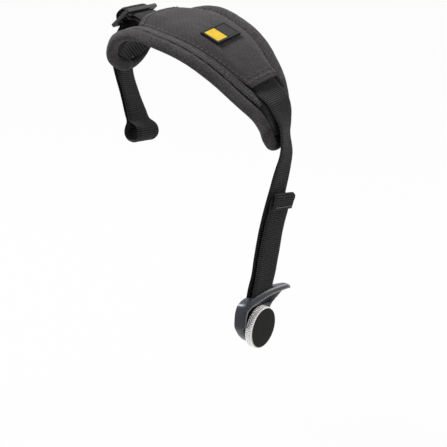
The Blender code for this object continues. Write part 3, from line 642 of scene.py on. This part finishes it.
def steel(name, rgb, rough, stretch=(1.0, 1.0, 1.0), painted_shade_radius=None):
    """Bright steel; what lies nearer the axis than the radius given, down in the knurl's grooves, is
    darkened as painted shade.
    """
    m, nt, b = new_mat(name, rgb, rough, 1.0)
    pos = node(nt, "ShaderNodeTexCoord").outputs["Object"]
    vec = node(nt, "ShaderNodeVectorMath", {0: pos, 1: [1000.0 * s for s in stretch]},
               operation="MULTIPLY").outputs[0]
    f = noise_tex(nt, 1.6, 4.0, 0.6, vec)
    col = ramp(nt, f, [(0.25, [c * 0.82 for c in rgb]), (0.75, rgb)])
    if painted_shade_radius:
        above = op(nt, "SUBTRACT", axis_distance(nt), painted_shade_radius)
        # painted shade: below that radius, in the knurl's grooves, the steel is darkened to 0.55 of its
        # colour
        high = op(nt, "MULTIPLY_ADD", above, 6.0, 0.5, clamp=True)
        col = node(nt, "ShaderNodeMix", {0: high, 6: [c * 0.55 for c in rgb] + [1.0], 7: col},
                   data_type="RGBA").outputs[2]
    nt.links.new(col, b.inputs["Base Color"])
    nt.links.new(op(nt, "MULTIPLY_ADD", f, 0.2, rough - 0.1), b.inputs["Roughness"])
    bump(nt, b, f, 0.02)
    return m


# painted shade in the knurl's grooves, everything deeper than 0.27 mm below the teeth tops
M_KNURL = steel("KnurledSteel", (0.96, 0.95, 0.93), 0.38, painted_shade_radius=KNOB_R - 0.27)
M_STEEL = steel("BareSteel", (0.62, 0.62, 0.62), 0.32, (6.0, 1.0, 1.0))


def face_material():
    """Dark anodised face with the fine rings of a lathe tool."""
    rgb = (0.007, 0.006, 0.0048)
    m, nt, b = new_mat("KnobFace", rgb, 0.4, 0.0, Specular_IOR_Level=0.06)
    rings = sine(nt, axis_distance(nt), 0.32)
    f = noise_tex(nt, 0.8, 3.0)
    nt.links.new(ramp(nt, f, [(0.3, [c * 0.75 for c in rgb]), (0.7, [c * 1.25 for c in rgb])]),
                 b.inputs["Base Color"])
    nt.links.new(op(nt, "MULTIPLY_ADD", f, 0.15, 0.28), b.inputs["Roughness"])
    bump(nt, b, rings, 0.006)
    return m


M_FACE = face_material()

# The rolled edge, one closed ring round the band
near_p = [(s, -w) for s, w in ROLL_PATH if w > 1.0]
far_p = [(s, w) for s, w in ROLL_PATH if w > 1.0]
loop = np.array(near_p[::-1] + far_p)
ls, lw = loop[:, 0], loop[:, 1]
is_far = lw > 0
lp = surf(ls, lw + (1.75 * far_wide(ls) + far_shift(ls)) * is_far,
          ROLL_N + (FAR_LIFT + FAR_PROUD) * far_shift(ls) / FAR_SHIFT * is_far)
ln = normal_at(ls, lw)
slim_end = is_far * slim(ls)
lp = lp + ln * (0.7 * slim_end)[:, None]
lr = ROLL_R + 0.25 * far_wide(ls) * is_far - 0.8 * slim_end
ld = run_length(np.concatenate((lp, lp[:1])))
LOOP_LEN = ld[-1]


def periodic(arr, at):
    return np.interp(at, ld, np.concatenate((arr, arr[:1])))


steps = 420
at = np.linspace(0, LOOP_LEN, steps, endpoint=False)
rp = np.stack([periodic(lp[:, c], at) for c in range(3)], 1)
for _ in range(2):
    rp = 0.25 * np.roll(rp, 1, 0) + 0.5 * rp + 0.25 * np.roll(rp, -1, 0)
rn = unit(np.stack([periodic(ln[:, c], at) for c in range(3)], 1))
rr = periodic(lr, at)
turn = 2 * math.pi * at / LOOP_LEN
pucker = 0.07 * np.array([noise.noise(Vector((math.cos(a) * 14, math.sin(a) * 14, 3.0))) for a in turn])
edge_roll = tube("edge_roll", rp, rn, rr * (1.0 + 0.35 * pucker), ROLL_R * (1.0 + 0.5 * pucker), 28,
                 closed=True, slot="edge_knit", mat=M_KNIT, sharp=None)
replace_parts(edge_roll, "near_edge_roll", "far_edge_roll")

# The foam core in its cloth
ok = CORE_S[CORE_W > 0.8]
cs = np.linspace(ok[0], ok[-1], 190)
tuck = 0.15 * smooth((cs - 30) / 10) + 0.5 * far_shift(cs) / FAR_SHIFT + 1.05 * slim(cs)
pad_body = loft("pad_body", *slab_rings(
    cs, -core_half(cs) - 0.55, core_half(cs) + far_shift(cs) + far_slim(cs) + 0.55 + tuck,
    lambda s, w: np.full(w.shape, FOAM_TOP - FOAM_T - 0.1), lambda s, w: np.full(w.shape, FOAM_TOP),
    30, edge=1.2, puff=lambda s, w: 0.12 * noise2(s / 7, w / 6, 2.0)), slot="edge_knit", mat=M_FOAM)
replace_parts(pad_body, "pad_core")


# The mesh lining, dimpled with its open cells
def cells(s, w):
    """0 on the mesh to 1 in the middle of a hole, on a hexagonal grid."""
    best = np.full(s.shape, 9.0)
    for ox, oy in ((0, 0), (0.5, 0.5)):
        u = (s / CELL - ox) - np.round(s / CELL - ox)
        v = (w / (CELL * 0.9) - oy) - np.round(w / (CELL * 0.9) - oy)
        best = np.minimum(best, np.hypot(u * CELL, v * CELL * 0.9))
    return 1 - smooth((best - 0.30) / 0.42)


base = FOAM_TOP - FOAM_T - 0.3


def lining_face(s, w):
    inside = core_half(s) + (far_shift(s) + far_slim(s)) * (w > 0) - np.abs(w)
    return (base - LINING_T - 0.12 * noise2(s / 9, w / 7, 5.0, 1)
            + 0.62 * cells(s, w) * smooth(inside / 1.2))


cs = np.linspace(ok[0] + 0.6, ok[-1] - 0.6, 520)
half_l = core_half(cs)
lining = loft("lining", *slab_rings(
    cs, -half_l - 0.3, half_l + far_shift(cs) + far_slim(cs) + 0.3, lining_face,
    lambda s, w: np.full(w.shape, base), 110, edge=0.5), slot="lining_mesh", mat=M_MESH)
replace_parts(lining, "pad_lining")


# The sleeve that the webbing runs through, with its folded mouths
def sleeve_top(s, w):
    """Outer face of the sleeve's cloth, drawn tight over the webbing from seam to seam."""
    lo, hi = sleeve_edge(s)
    near = np.minimum(w - lo, hi - w)
    hem = smooth((SLEEVE_L + HEM_W + 0.25 - s) / 0.5) + smooth((s - SLEEVE_R + HEM_W + 0.25) / 0.5)
    mouth = np.exp(-((s - SLEEVE_L) / 7) ** 2) + np.exp(-((SLEEVE_R - s) / 8) ** 2)
    wrinkle = noise2(s / 11 + w / 40, w / 5.5, 1.0) * (TOP_PUFF + 0.16 * mouth)
    o, half = web_off(s), WEB_W / 2
    out = np.where(w > o, (w - o - half) / np.maximum(hi - o - half, 0.5),
                   (o - half - w) / np.maximum(o - half - lo, 0.5))
    over = WEB_T + GAP + 2 * LAYER * 1.08 * (1 - smooth((s - TAIL_S - 1.5) / 12))
    far_end = FAR_SEAM * (w > o) * far_shift(s) / FAR_SHIFT
    tent = FOAM_TOP + GAP + far_end + (over - far_end) * (1 - np.clip(out, 0, 1) ** 1.6)
    tent = tent + 0.35 * smooth(near / 5.0)
    return np.maximum(tent, sleeve_low(s, w)) + PANEL_T + 0.33 * hem + wrinkle * smooth(near / 2.5)


ss = np.unique(np.concatenate((np.linspace(SLEEVE_L, SLEEVE_R, 190),
                               SLEEVE_L + HEM_W + np.linspace(-0.5, 0.5, 7),
                               SLEEVE_R - HEM_W + np.linspace(-0.5, 0.5, 7))))
lo_s, hi_s = sleeve_edge(ss)
sleeve = loft("sleeve", *slab_rings(ss, lo_s, hi_s, sleeve_low, sleeve_top, 84, edge=0.4, sink=0.1),
              slot="sleeve_twill", mat=M_TWILL)
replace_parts(sleeve, "sleeve_panel", "sleeve_hem_left", "sleeve_hem_right")

# The binding strip beside the near roll
s_first = next(s for s in np.arange(4, 30, 0.25) if core_half(s) > 3.0)


def tape_width(s):
    free = web_off(s) - WEB_W / 2 - 0.4 + core_half(s) - 0.1
    return np.where(s > SLEEVE_R, np.minimum(TAPE_W, free), TAPE_W)


t_last = next(s for s in np.arange(SLEEVE_R, BAND_L, 0.5) if tape_width(s) < 1.3)
ts = np.linspace(s_first + 4.0, t_last, 260)
t_lo = -core_half(ts) + 0.1
binding = loft("binding", *slab_rings(
    ts, t_lo - 1.05, t_lo + tape_width(ts), lambda s, w: np.full(w.shape, FOAM_TOP + 0.12),
    lambda s, w: FOAM_TOP + 1.45 + 0.06 * noise2(s / 3, w / 3, 7.0),
    16, edge=0.8), slot="binding", mat=M_BIND)
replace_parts(binding, "binding_strip")

# The webbing
rows = ribbon_rows()
total = length(rows)
k = int(total / 1.1)
R = spline(rows, np.linspace(0, total, k))
P5 = R[:, 3:].reshape(k, COLS + 1, 3)
u5, u = np.linspace(-1, 1, COLS + 1), np.linspace(-1, 1, 13)
A = np.array([[np.prod([(x - u5[j]) / (u5[i] - u5[j]) for j in range(COLS + 1) if j != i])
               for i in range(COLS + 1)] for x in u])
mid = np.einsum("ij,kjc->kic", A, P5)
fold = np.linspace(0, total, k) - FLAP - 1.6
cen = mid.mean(1, keepdims=True)
mid = cen + (mid - cen) * (1 - 0.12 * np.exp(-(fold / 1.3) ** 2))[:, None, None]
tan = unit(np.gradient(mid, axis=0))
acr = unit(np.gradient(mid, axis=1))
nrm = unit(np.cross(tan, acr))
u_len = np.linspace(0, total, k)
half_t = WEB_T / 2 * np.sqrt(np.clip(1 - np.clip((np.abs(u) * 8 - 7.3) / 0.7, 0, 1) ** 2, 0.04, 1))
nz = np.array([[0.07 * noise.noise(Vector((a / 6, x * 1.6, 4.0))) for x in u] for a in u_len])
ring = np.concatenate((mid + nrm * (half_t[None, :] + nz)[..., None],
                       (mid - nrm * (half_t[None, :] - nz)[..., None])[:, ::-1]), 1)
round_uv = np.concatenate((u, u[::-1]))[None, :] * WEB_W / 2
wuv = np.stack(np.broadcast_arrays(u_len[:, None], round_uv), -1)
webbing = loft("webbing", ring, wuv, slot="webbing", mat=M_WEB)
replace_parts(webbing, "main_webbing")


# Stitching
def line(s, w, lift=0.0, top=sleeve_top):
    s, w = np.broadcast_arrays(np.asarray(s, float), np.asarray(w, float))
    return surf(s, w, top(s, w) + lift), normal_at(s, w)


runs = []
for at_s in (SLEEVE_L + HEM_W - 0.8, SLEEVE_R - HEM_W + 0.8, SLEEVE_R - HEM_W - 2.2):
    lo1, hi1 = sleeve_edge(np.array([at_s]))
    w = np.linspace(lo1[0] + 1.4, hi1[0] - 1.4, 60)
    runs.append(line(np.full(60, at_s), w))
s = np.linspace(SLEEVE_L + 1.0, SLEEVE_R - 1.0, 200)
lo1, hi1 = sleeve_edge(s)
runs.append(line(s, hi1 - 1.1))
runs.append(line(s, lo1 + 0.9))
stitches("seam_stitches", runs, M_THREAD, slot="thread")
s = np.linspace(ts[0] + 2, ts[-1] - 2, 260)
stitches("binding_stitches", [
    line(s, -core_half(s) + 0.1 + 0.75, 0.0, lambda s, w: np.full(w.shape, FOAM_TOP + 1.43))],
    M_THREAD, slot="thread")
st = rows[0]
up, wd = unit(rows[1][:3] - rows[0][:3]), across(rows[0])
out = unit(np.cross(wd, up))
out = out if out[0] > 0 else -out
q = np.array([st[:3] + up * 1.2 + out * (WEB_T / 2 + 0.05) + wd * x for x in np.linspace(-6.6, 6.6, 20)])
end_st = stitches("webbing_end_stitches", [(q, np.tile(out, (20, 1)))], M_THREAD_LIGHT,
                  pitch=1.65, long=1.25, r=0.2, slot="thread")
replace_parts(end_st, "end_stitching")


# The thumb screw: a squarely knurled rim, its face, and the helical thread
def knob_rim():
    teeth, sub, rows_n, deep = 56, 8, 4, 0.42
    steps = teeth * sub
    a = 2 * math.pi * np.arange(steps) / steps
    x0, x1, r = KNOB_X0, KNOB_X1, KNOB_R
    lo, hi = x0 + 0.2, x1 - 0.25
    back_face = [(3.6, x0 + 2.0), (3.6, x0), (r - 0.75, x0), (r - 0.45, x0 + 0.05), (r - deep, x0 + 0.15)]
    knurl = [(r, x) for x in np.linspace(lo, hi, rows_n * 8 + 1)]
    prof = np.array(back_face + knurl + [
        (r - deep, x1 - 0.2), (r - 0.5, x1 - 0.08), (r - 0.62, x1 - 0.04), (r - 0.9, x1 - 0.05),
        (r - 0.9, x1 - 0.75)])
    rad = np.broadcast_to(prof[:, :1], (len(prof), steps)).copy()
    pitch = (hi - lo) / rows_n
    for i in range(len(back_face), len(back_face) + len(knurl)):
        ax = min(1.0, 1.5 * abs(math.sin(math.pi * (prof[i, 1] - lo) / pitch)))
        az = np.minimum(1.0, 1.5 * np.abs(np.sin(math.pi * np.arange(steps) / sub)))
        rad[i] = r - deep + deep * ax * az
    rings = np.stack((np.broadcast_to(prof[:, 1:], rad.shape), rad * np.cos(a), rad * np.sin(a)), -1)
    n, m = rings.shape[:2]
    faces = loft_faces(n, m, caps=False) + [list(range((n - 1) * m, n * m))] + [list(range(m))]
    return mesh_object("knob_rim_knurled", rings.reshape(-1, 3), faces, body="thumb_screw",
                       slot="knurled_steel", mat=M_KNURL, sharp=38)


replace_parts(knob_rim(), "knob_rim")

r, b = KNOB_R, KNOB_X1
face = lathe("knob_face", [(0.02, b - 0.02), (4.0, b - 0.02), (r - 1.0, b), (r - 0.66, b - 0.01),
                           (r - 0.58, b - 0.08), (r - 0.75, b - 0.2), (0.02, b - 0.2)], 128,
             mat=M_FACE, body="thumb_screw", slot="knob_face")
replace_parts(face, "knob_cap")


def stud():
    """A coarse inch thread, 1.27 mm pitch, on the screw's shank, as one closed lathe-like grid."""
    pitch, per, root, deep = 1.27, 24, 2.55, 0.58
    a = 2 * math.pi * np.arange(per) / per

    def turned(x, rad):
        return np.stack((np.full(per, x), rad * np.cos(a), rad * np.sin(a)), -1)

    rings = [turned(STUD_IN, 2.2)]
    for x in np.arange(STUD_IN, 0.25, pitch / 16)[1:]:
        ph = (x / pitch - a / (2 * math.pi)) % 1.0
        tri = np.abs(ph * 2 - 1)
        cut = np.clip((tri - 0.12) / 0.76, 0, 1)
        run = min(1.0, (x - STUD_IN) / 1.0)
        rings.append(turned(x, root + (deep * cut) * smooth(run) - 0.25 * (1 - smooth(run))))
    for rad, x in ((2.75, 0.35), (2.75, 1.1), (3.3, 1.2), (3.3, KNOB_X0 + 1.7)):
        rings.append(turned(x, rad))
    rings = np.array(rings)
    return mesh_object("screw_thread", rings.reshape(-1, 3), loft_faces(*rings.shape[:2]),
                       body="thumb_screw", slot="bare_steel", mat=M_STEEL, sharp=40)


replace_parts(stud(), "threaded_stud")

# The moulded foot: a plate, and a wall that sweeps round its left side into the wing.
# Each station is where the wall's outer face stands at the camera's side, at its widest
# part and at its front rim, as (across, up). It is LOW_X high where the knob covers it.
FOOT_X0, PLATE_X, WALL_XM, RIM_X, RIM_W, LOW_X = 0.9, 4.0, 5.2, 6.6, 0.85, 5.05
WASHER_CLEAR, RIBS, RIB_STEP, RIB_HALF = 7.35, 4, 1.15, 0.28
WALL = [
    (1.4, -8.9, 1.4, -8.9, 1.4, -8.7), (-2.4, -8.0, -2.4, -8.0, -2.3, -7.9),
    (-6.7, -5.4, -6.7, -5.4, -6.5, -5.3), (-10.0, -2.3, -9.8, -2.2, -9.4, -1.9),
    (-12.3, 0.7, -12.0, 0.8, -11.6, 0.9),
    (-13.0, 4.2, -12.6, 4.3, -12.2, 4.2), (-13.1, 8.0, -12.6, 8.0, -12.1, 7.3),
    (-12.1, 10.8, -11.7, 11.0, -11.1, 9.7), (-9.6, 12.5, -9.2, 13.0, -8.2, 11.3),
    (-5.0, 13.8, -4.6, 14.7, -4.2, 12.3), (0.0, 14.8, 0.0, 15.7, 1.0, 13.5),
    (5.5, 15.7, 5.5, 16.5, 5.5, 14.4), (11.0, 16.3, 11.0, 16.9, 10.5, 14.9),
    (17.0, 16.7, 17.0, 17.0, 16.5, 15.3), (22.0, 16.6, 22.0, 16.7, 21.4, 15.4),
    (23.7, 16.0, 23.8, 15.9, 23.6, 15.3),
]
PLATE = [
    (23.0, 14.9), (21.6, 13.6), (19.8, 12.3), (17.6, 10.9), (14.0, 9.0), (12.4, 7.4), (11.0, 5.4),
    (9.6, 3.0), (8.9, 0.0), (8.2, -3.4), (6.2, -6.3), (3.4, -8.3),
]


def solid(name, verts, faces):
    """A helper solid in mm, not yet a piece."""
    return linked(name, closed_mesh(name, verts, faces))


def prism(name, outline, x0, x1):
    n = len(outline)
    v = [(x0, y, z) for y, z in outline] + [(x1, y, z) for y, z in outline]
    sides = [(i, (i + 1) % n, n + (i + 1) % n, n + i) for i in range(n)]
    return solid(name, v, sides + [list(range(n)), list(range(n, 2 * n))])


def baked(ob):
    """The mesh that ob's modifiers make; ob itself is removed."""
    me = bpy.data.meshes.new_from_object(ob.evaluated_get(bpy.context.evaluated_depsgraph_get()))
    bpy.data.objects.remove(ob)
    return me


def cut(ob, other):
    """ob with other taken away."""
    md = ob.modifiers.new("Boolean", "BOOLEAN")
    md.object, md.operation, md.solver = other, "DIFFERENCE", "EXACT"
    me = baked(ob)
    bpy.data.objects.remove(other)
    return linked(me.name, me)


def soften(ob, width, limit=CREASE):
    bv = ob.modifiers.new("Bevel", "BEVEL")
    bv.width, bv.segments, bv.limit_method = width * MM, 3, "ANGLE"
    bv.angle_limit, bv.use_clamp_overlap = limit, True


def bevelled(ob, width):
    soften(ob, width)
    me = baked(ob)
    return linked(me.name, me)


def box(name, lo, hi):
    v = [(x, y, z) for x in (lo[0], hi[0]) for y in (lo[1], hi[1]) for z in (lo[2], hi[2])]
    return solid(name, v, [(0, 1, 3, 2), (4, 6, 7, 5), (0, 4, 5, 1), (2, 3, 7, 6),
                           (0, 2, 6, 4), (1, 5, 7, 3)])


def bore(name, x0, x1, radius, n=32):
    """A cylinder on the screw's axis."""
    t = 2 * math.pi * np.arange(n) / n
    return prism(name, list(zip(radius * np.cos(t), radius * np.sin(t))), x0, x1)


def passage(name):
    """Where the webbing goes in and turns round its pin."""
    return box(name, (-5.0, -5.5, 9.1), (5.15, 11.5, 25.0))


def foot():
    w = np.array(WALL)
    d = run_length(w[:, 2:4])
    u = np.linspace(0, d[-1], 110)
    w = hermite(w, d, u)
    back, wide, rim = w[:, 0:2], w[:, 2:4], w[:, 4:6]
    t = unit(np.gradient(rim, axis=0))
    inner = rim + np.stack((t[:, 1], -t[:, 0]), 1) * RIM_W
    front = LOW_X + (RIM_X - LOW_X) * smooth((np.linalg.norm(inner, axis=1) - KNOB_R - 0.35) / 0.6)
    inner *= np.maximum(1, WASHER_CLEAR / np.linalg.norm(inner, axis=1))[:, None]
    x_back = FOOT_X0 + 3.0 * smooth((u - d[-1] + 14) / 14)

    def curve(yz, x):
        """The line yz at the height x of the full wall; the wall is lower under the knob."""
        x = np.broadcast_to(x, len(yz))
        high = x > PLATE_X + 0.1
        return np.column_stack((np.where(high, PLATE_X + (x - PLATE_X) * (front - PLATE_X)
                                         / (RIM_X - PLATE_X), x), yz))

    rings = np.stack((
        curve(back, x_back), curve((back + 2 * wide) / 3, (x_back + WALL_XM) / 2 + 0.3),
        curve(wide, WALL_XM - 0.3), curve(wide * 0.86 + rim * 0.14, WALL_XM + 0.3),
        curve(wide * 0.5 + rim * 0.5, RIM_X - 0.45), curve(rim, RIM_X),
        curve(inner, RIM_X), curve(inner, PLATE_X), curve(inner, x_back)), 1)
    wall = solid("foot_wall", rings.reshape(-1, 3), loft_faces(*rings.shape[:2]))
    wall = bevelled(cut(wall, passage("cut_a")), 0.22)
    side = [tuple(b + (i - b) * 0.5) for b, i in zip(back[::4], inner[::4])]
    outline = side + PLATE
    plate = cut(prism("foot_plate", outline, FOOT_X0, PLATE_X), passage("cut_b"))
    plate = bevelled(cut(plate, bore("cut_c", -5.0, 12.0, 3.6)), 0.2)
    bars = []
    for i in range(RIBS):
        z = 13.1 - RIB_STEP * i
        p = np.array([(11.8, z - 0.8), (16.0 - 0.8 * i, z), (20.2 - 1.9 * i, z + 0.1)])
        n = np.array((0.0, RIB_HALF))
        outline = [tuple(a + n) for a in p] + [tuple(a - n) for a in p[::-1]]
        bars.append(bevelled(prism("rib", outline, PLATE_X - 0.4, PLATE_X + 0.35), 0.15))
    out = bpy.data.meshes.new("foot_moulding")
    bm = bmesh.new()
    for part in (wall, plate, *bars):
        bm.from_mesh(part.data)
        bpy.data.objects.remove(part)
    bm.to_mesh(out)
    bm.free()
    out.shade_smooth()
    out.set_sharp_from_angle(angle=CREASE)
    ob = linked("foot_moulding", out)
    out.materials.clear()
    out.materials.append(M_FOOT)
    out.materials.append(M_RIM_PAINTED_HIGHLIGHT)
    # faces on the rim's front, past RIM_X - 0.16, take the lighter painted-highlight plastic
    for f in out.polygons:
        f.material_index = int(f.center.x > (RIM_X - 0.16) * MM)
    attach(ob, "strap")
    return ob


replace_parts(foot(), "foot")


def friction_pad():
    """Rubber ring under the foot, trimmed where the wall's foot is trimmed."""
    a = 2 * math.pi * np.arange(96) / 96
    outer, inner, thick, trim, trim_at, top = 8.3, 5.3, 0.6, np.array((-0.62, -0.785)), 6.0, 7.6
    p = outer * np.stack((np.cos(a), np.sin(a)), 1)
    p -= trim * np.maximum(p @ trim - trim_at, 0)[:, None]
    pad = cut(prism("pad", [tuple(v) for v in p], 0.0, thick), bore("cut_d", -5.0, 5.0, inner, 64))
    pad = bevelled(cut(pad, box("cut_e", (-5, -20, top), (5, 20, 25))), 0.1)
    pad.name = "friction_ring"
    pad.data.shade_smooth()
    pad.data.set_sharp_from_angle(angle=CREASE)
    pad.data.materials.clear()
    pad.data.materials.append(M_RUBBER)
    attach(pad, "strap")
    return pad


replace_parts(friction_pad(), "friction_pad")

# CAD nodes that keep their shape
for name, m, width in (
        ("webbing_pin", M_STEEL, 0.12), ("slider", M_SLIDER, 0.0), ("label_base", M_LABEL_B, 0.22),
        ("label_light_field", M_LABEL_Y, 0.12), ("label_dark_field", M_LABEL_B, 0.12),
        ("retaining_clip", M_STEEL, 0.06), ("washer", M_WASHER, 0.1)):
    ob = NODES[name]
    if len(ob.material_slots) == 0:
        ob.data.materials.append(m)
    for sl in ob.material_slots:
        sl.material = m
    if width:
        soften(ob, width, math.radians(40))


# Floor, background, lights and camera
def seen(nt):
    """1 for what the camera sees, straight or in a gloss."""
    path = node(nt, "ShaderNodeLightPath")
    return op(nt, "MAXIMUM", path.outputs["Is Camera Ray"], path.outputs["Is Glossy Ray"])


far, low = 9, -0.062        # in m
me = bpy.data.meshes.new("floor")
me.from_pydata([(-far, -far, low), (far, -far, low), (far, far, low), (-far, far, low)],
               [], [(0, 1, 2, 3)])
floor = linked("floor", me)
m, nt, b = new_mat("Floor", (0.6, 0.6, 0.6), 0.9)
em = node(nt, "ShaderNodeEmission", {"Strength": 1.0})
share = op(nt, "MULTIPLY", seen(nt), 0.97)
mixn = node(nt, "ShaderNodeMixShader", {0: share, 1: b.outputs[0], 2: em.outputs[0]})
nt.links.new(mixn.outputs[0], nt.nodes["Material Output"].inputs[0])
me.materials.append(m)

world = bpy.data.worlds.new("World")
bpy.context.scene.world = world
world.use_nodes = True
wt = world.node_tree
bg = wt.nodes["Background"]
bg.inputs[0].default_value = (1, 1, 1, 1)
ambient = 0.14
wt.links.new(op(wt, "MULTIPLY_ADD", seen(wt), 1.0 - ambient, ambient), bg.inputs[1])


def area(name, loc, target, size, power):
    li = bpy.data.lights.new(name, "AREA")
    li.shape, li.size, li.energy = "DISK", size, power
    ob = linked(name, li)
    ob.location = loc
    ob.rotation_mode = "QUATERNION"
    ob.rotation_quaternion = (Vector(target) - Vector(loc)).to_track_quat("-Z", "Y")


area("Key", (-0.60, -0.20, 0.78), (-0.04, 0, 0.09), 0.35, 10.9)
area("Side", (0.80, -0.30, 0.20), (0, 0, 0.05), 0.35, 1.15)
area("Back", (0.15, 0.70, 0.50), (-0.03, 0, 0.1), 0.4, 2.4)

# The camera, fitted to the photograph: its axes in the row frame, and its place
cam = linked("Camera", bpy.data.cameras.new("Camera"))
cam.data.lens, cam.data.sensor_width = 128.85, 36.0
cam.data.clip_start, cam.data.clip_end = 0.05, 40.0
right, upv, back = ((0.8115, 0.5729, 0.1151), (-0.2398, 0.1469, 0.9596), (0.5329, -0.8063, 0.2566))
axes = Matrix((right, upv, back)).transposed().to_4x4()
cam.matrix_world = Matrix.Translation((0.37941, -0.60439, 0.23567)) @ axes
bpy.context.scene.camera = cam
bpy.context.scene.view_settings.view_transform = "Standard"

bpy.context.view_layer.update()
